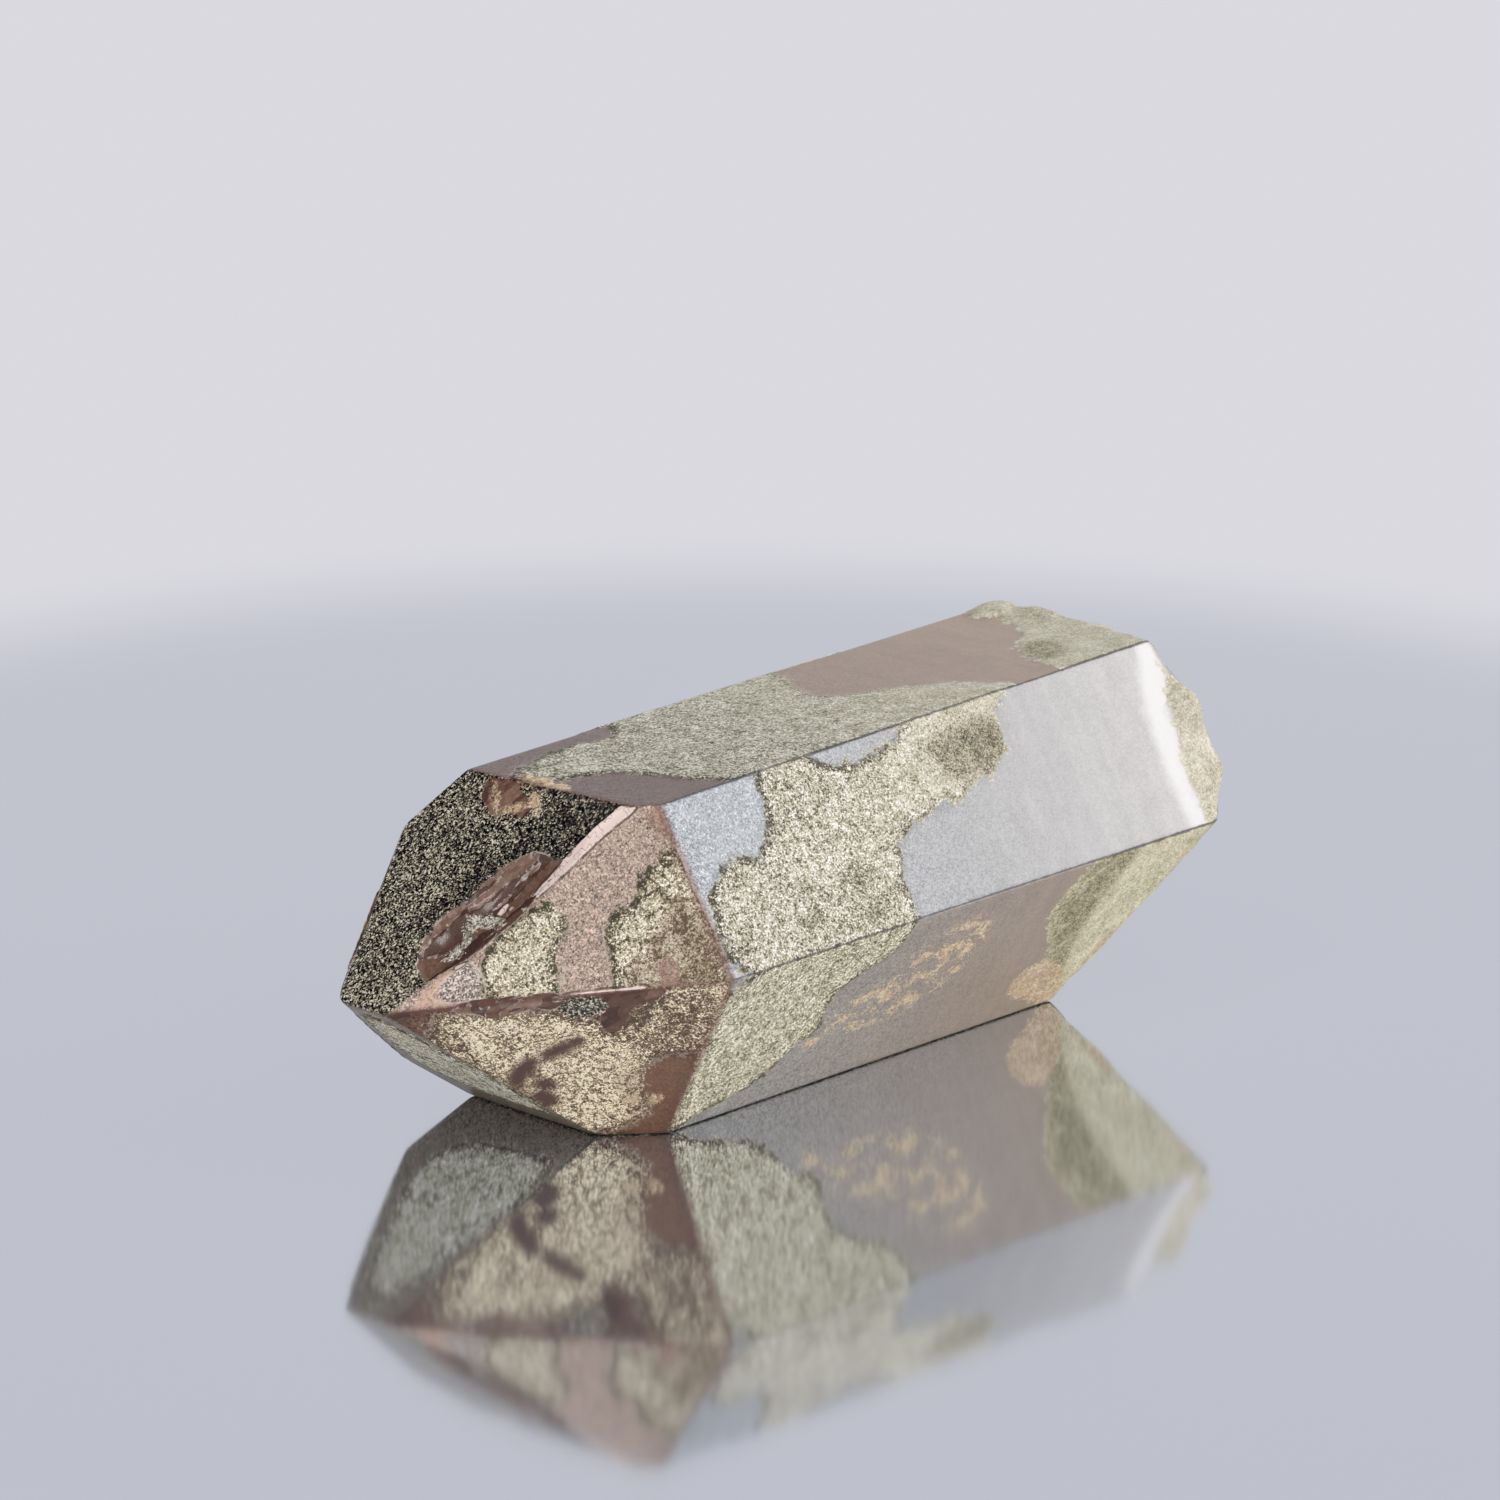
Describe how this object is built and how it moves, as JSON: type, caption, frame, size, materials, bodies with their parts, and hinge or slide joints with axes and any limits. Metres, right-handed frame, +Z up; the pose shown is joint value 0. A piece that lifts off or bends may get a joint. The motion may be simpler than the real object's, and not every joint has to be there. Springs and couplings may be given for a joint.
{
  "type": "smoky quartz crystal",
  "caption": "Smoky quartz point lying on a prism face, with a pyramid tip, a patchy mineral crust, a chipped ridge and a broken base.",
  "frame": {"origin": "centre of the bounding box on the plane that the crystal lies on", "axes": "+Z up; +X along the crystal's long axis towards its broken base, with the point at -X"},
  "size_m": [0.0575, 0.025, 0.021],
  "materials": {
    "smoky_quartz": "glossy dark brown quartz under a matt, grainy, pale olive mineral crust"
  },
  "bodies": {
    "root": {"smoky_quartz_crystal": "smoky_quartz"}
  },
  "joints": []
}
